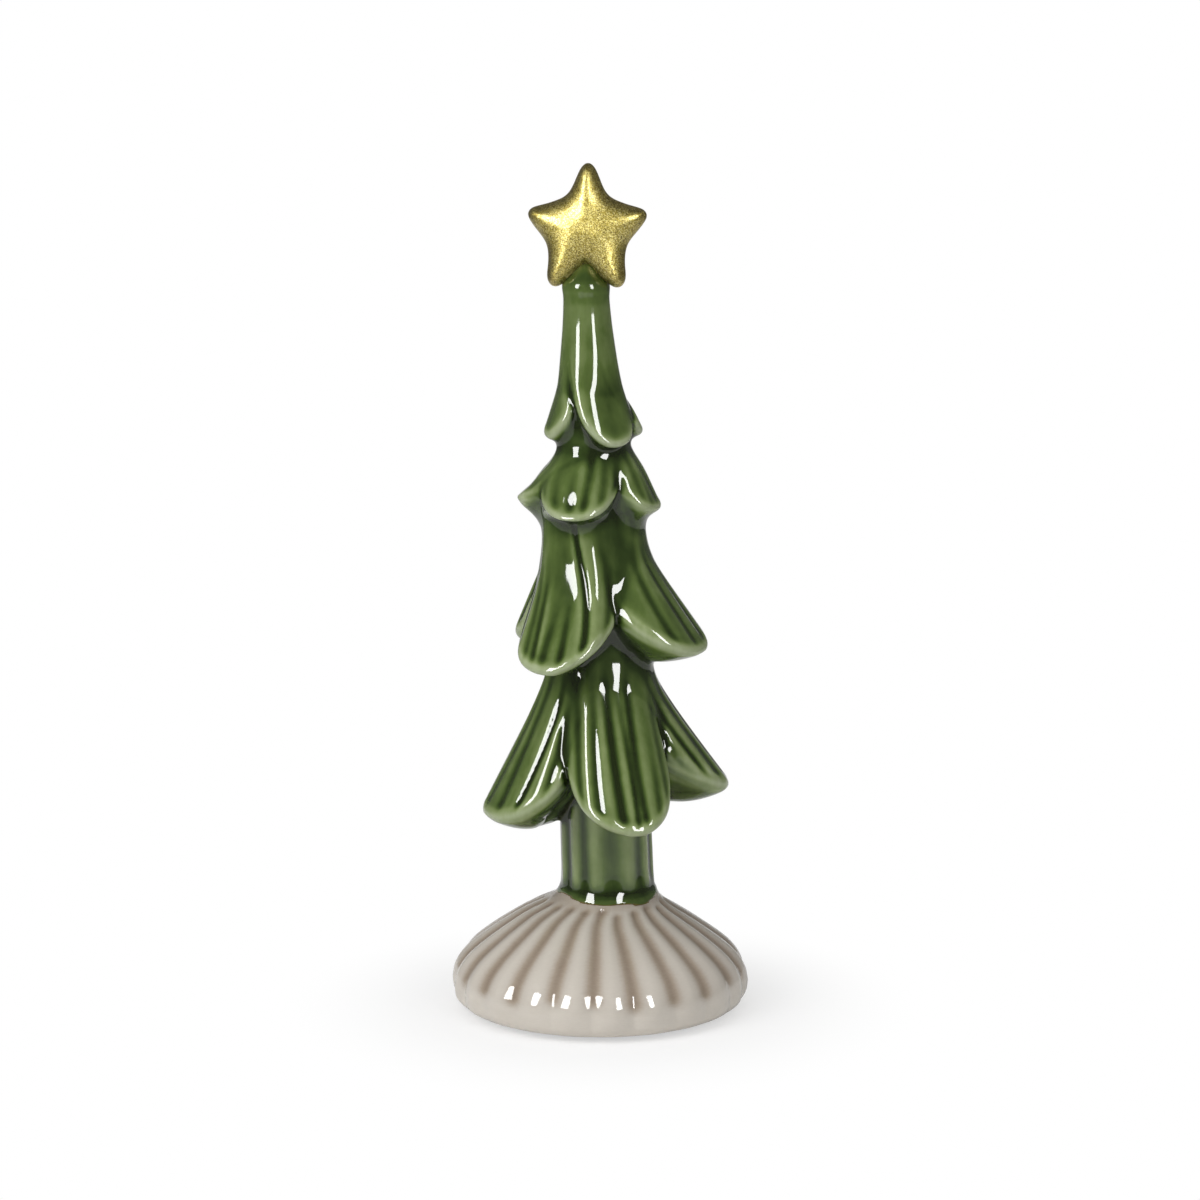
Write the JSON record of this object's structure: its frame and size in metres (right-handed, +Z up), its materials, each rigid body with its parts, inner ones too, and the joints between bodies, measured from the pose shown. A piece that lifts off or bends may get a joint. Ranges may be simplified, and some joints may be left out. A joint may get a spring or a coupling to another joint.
{
  "type": "tabletop christmas tree",
  "caption": "Glazed stoneware tree ornament with fluted boughs in tiers, a ribbed trunk, a fluted dome foot and a puffed star on top, standing by its own weight",
  "frame": {"origin": "centre of the round foot on the table, at the middle of the underside", "axes": "+Z up through the star; the front, with the star's broad face, looks along -Y; +X is to the right seen from the front"},
  "size_m": [0.1092, 0.1092, 0.3076],
  "materials": {
    "green_glaze": "gloss",
    "sand_glaze": "gloss",
    "gold_paint": "satin"
  },
  "bodies": {
    "root": {"base_dome": "sand_glaze", "trunk_core": "green_glaze", "spire_bough_front_right": "green_glaze", "spire_bough_left": "green_glaze", "spire_bough_right": "green_glaze", "spire_bough_back": "green_glaze", "upper_bough_front": "green_glaze", "upper_bough_right": "green_glaze", "upper_bough_left": "green_glaze", "upper_bough_back": "green_glaze", "middle_bough_right": "green_glaze", "middle_bough_left": "green_glaze", "middle_bough_back_left": "green_glaze", "middle_bough_back_right": "green_glaze", "lower_bough_front": "green_glaze", "lower_bough_left": "green_glaze", "lower_bough_right": "green_glaze", "lower_bough_back": "green_glaze", "star": "gold_paint"}
  },
  "joints": []
}
